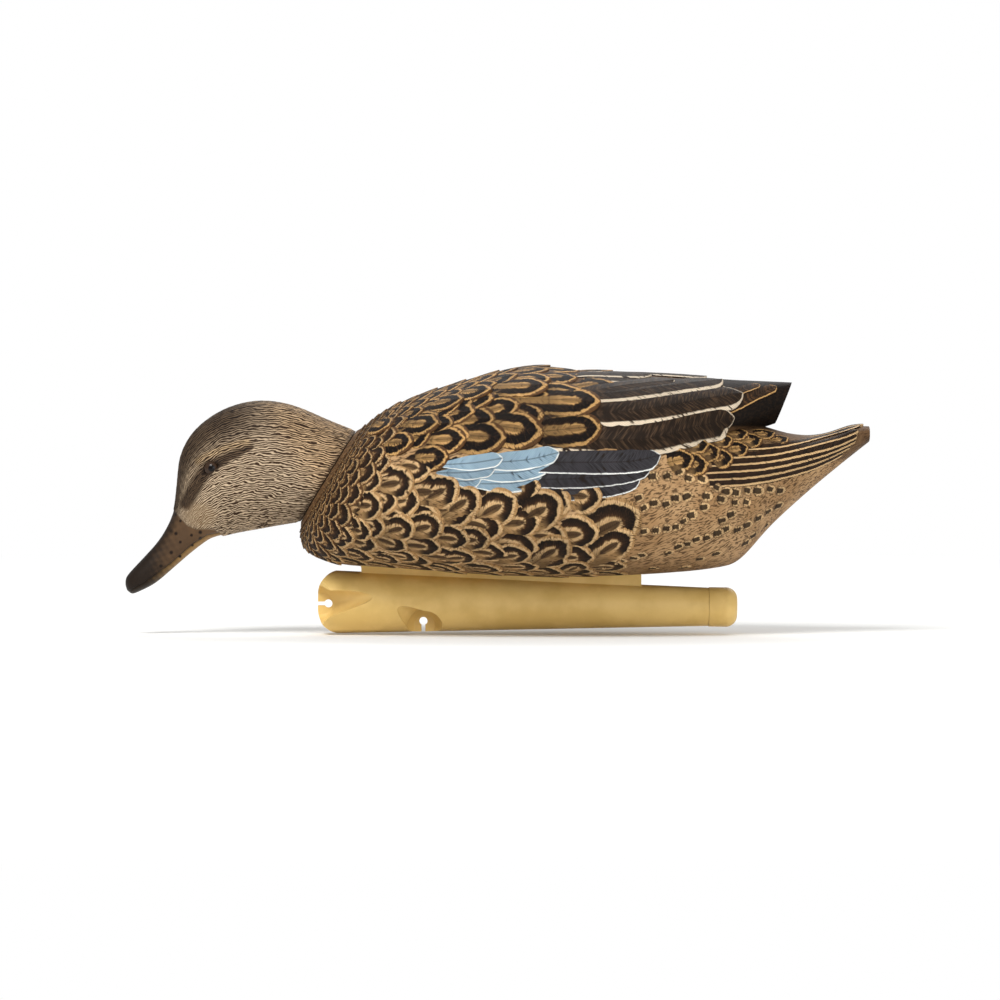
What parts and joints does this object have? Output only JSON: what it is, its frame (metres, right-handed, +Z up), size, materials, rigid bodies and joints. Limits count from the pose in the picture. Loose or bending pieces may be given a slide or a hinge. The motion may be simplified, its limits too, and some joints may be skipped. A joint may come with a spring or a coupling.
{
  "type": "duck decoy",
  "caption": "Floating hunting decoy of a small hen duck in a low feeding pose, hollow body with a swivelling head on a neck spigot, hung over a ballasted tubular keel.",
  "frame": {"origin": "on the plane of symmetry, half way between bill tip and tail tip, at the level of the keel's underside", "axes": "+Z up as it floats; the bill points along -X and the tail along +X; +Y is the bird's right side"},
  "size_m": [0.33, 0.1308, 0.1186],
  "materials": {
    "body_plastic": "moulded feather texture, hand-painted in matt brown, tan and cream",
    "head_plastic": "finely carved, matt paint",
    "eye": "glossy dark brown bead",
    "keel_plastic": "moulded-in golden tan, slight sheen",
    "collar_plastic": "plain moulded",
    "seal_rubber": "soft",
    "ballast_iron": "as cast",
    "fastener_steel": "stainless"
  },
  "bodies": {
    "body": {"body_shell": "body_plastic", "vent_plug": "seal_rubber", "neck_collar": "collar_plastic", "keel_tube": "keel_plastic", "keel_ballast": "ballast_iron", "keel_end_cap": "keel_plastic", "keel_cap_seal": "seal_rubber", "keel_screws": "fastener_steel"},
    "head": {"head_shell": "head_plastic", "eye_left": "eye", "eye_right": "eye", "neck_seal": "seal_rubber", "neck_washer": "fastener_steel", "neck_screw": "fastener_steel"}
  },
  "joints": [
    {"name": "head_swivel", "type": "hinge", "parent": "body", "child": "head", "pos_m": [-0.0745, 0, 0.0695], "axis": [-0.8536, 0, 0.521], "range_deg": [-35, 35]}
  ]
}
